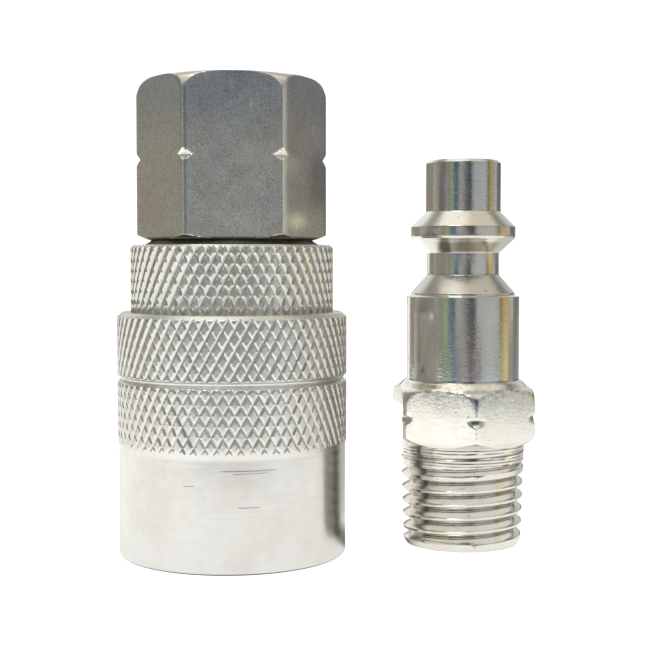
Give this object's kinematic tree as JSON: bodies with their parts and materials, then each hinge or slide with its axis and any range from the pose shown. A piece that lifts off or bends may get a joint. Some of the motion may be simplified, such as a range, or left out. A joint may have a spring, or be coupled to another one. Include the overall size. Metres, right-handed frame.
{
  "type": "quick disconnect air coupler",
  "caption": "Quick disconnect air coupler: spring-locked female socket with knurled sliding sleeve, locking balls and shut-off valve, with its threaded male plug standing beside it.",
  "frame": {"origin": "on the socket's axis, in the plane of its mouth", "axes": "+Z along the socket's axis from its mouth towards its pipe port; the plug stands towards +X, nose towards +Z"},
  "size_m": [0.0434, 0.0236, 0.0485],
  "materials": {
    "plated_steel_bright": "bright nickel-plated turned steel, knurled bands",
    "plated_steel_dull": "satin nickel-plated steel, slightly mottled",
    "plated_steel_plug": "plated turned steel with fine turning marks",
    "spring_steel": "drawn spring wire",
    "steel_washer": "stamped steel washer",
    "ball_steel": "polished bearing steel",
    "brass_ring": "turned brass",
    "brass_valve": "turned brass",
    "seal_rubber": "black nitrile rubber"
  },
  "bodies": {
    "barrel_body": {"barrel": "plated_steel_bright", "hex_adapter": "plated_steel_dull", "adapter_o_ring": "seal_rubber", "valve_seat_ring": "brass_ring", "nose_packing": "seal_rubber", "packing_washer": "brass_ring", "valve_guide": "brass_valve", "front_stop_washer": "steel_washer", "front_snap_ring": "spring_steel", "sleeve_spring": "spring_steel", "valve_spring": "spring_steel"},
    "thrust_washer": {"sleeve_thrust_washer": "steel_washer"},
    "sleeve_body": {"sleeve": "plated_steel_bright"},
    "ball_1": {"lock_ball_1": "ball_steel"},
    "ball_2": {"lock_ball_2": "ball_steel"},
    "ball_3": {"lock_ball_3": "ball_steel"},
    "ball_4": {"lock_ball_4": "ball_steel"},
    "ball_5": {"lock_ball_5": "ball_steel"},
    "ball_6": {"lock_ball_6": "ball_steel"},
    "poppet": {"valve_poppet": "brass_valve", "poppet_o_ring": "seal_rubber"},
    "plug_body": {"plug": "plated_steel_plug"}
  },
  "joints": [
    {"name": "sleeve_slide", "type": "slide", "parent": "barrel_body", "child": "thrust_washer", "axis": [0, 0, 1], "range_m": [0, 0.004], "stiffness_N_per_m": 4000, "springref_m": -0.002, "deforming": ["sleeve_spring"]},
    {"name": "sleeve_spin", "type": "hinge", "parent": "thrust_washer", "child": "sleeve_body", "pos_m": [0, 0, 0], "axis": [0, 0, 1], "continuous": true},
    {"name": "valve_slide", "type": "slide", "parent": "barrel_body", "child": "poppet", "axis": [0, 0, 1], "range_m": [0, 0.0034], "stiffness_N_per_m": 1500, "springref_m": -0.002, "deforming": ["valve_spring"]},
    {"name": "plug_lift", "type": "slide", "parent": "barrel_body", "child": "plug_body", "axis": [0, 0, 1], "range_m": [0, 0.055]},
    {"name": "ball_1_out", "type": "slide", "parent": "barrel_body", "child": "ball_1", "axis": [1, 0, 0], "range_m": [0, 0.00085]},
    {"name": "ball_2_out", "type": "slide", "parent": "barrel_body", "child": "ball_2", "axis": [0.5, 0.866, 0], "range_m": [0, 0.00085]},
    {"name": "ball_3_out", "type": "slide", "parent": "barrel_body", "child": "ball_3", "axis": [-0.5, 0.866, 0], "range_m": [0, 0.00085]},
    {"name": "ball_4_out", "type": "slide", "parent": "barrel_body", "child": "ball_4", "axis": [-1, 0, 0], "range_m": [0, 0.00085]},
    {"name": "ball_5_out", "type": "slide", "parent": "barrel_body", "child": "ball_5", "axis": [-0.5, -0.866, 0], "range_m": [0, 0.00085]},
    {"name": "ball_6_out", "type": "slide", "parent": "barrel_body", "child": "ball_6", "axis": [0.5, -0.866, 0], "range_m": [0, 0.00085]}
  ],
  "couplings": [
    {"joint": "ball_1_out", "follows": "sleeve_slide", "ratio": 0.2125},
    {"joint": "ball_2_out", "follows": "sleeve_slide", "ratio": 0.2125},
    {"joint": "ball_3_out", "follows": "sleeve_slide", "ratio": 0.2125},
    {"joint": "ball_4_out", "follows": "sleeve_slide", "ratio": 0.2125},
    {"joint": "ball_5_out", "follows": "sleeve_slide", "ratio": 0.2125},
    {"joint": "ball_6_out", "follows": "sleeve_slide", "ratio": 0.2125}
  ]
}
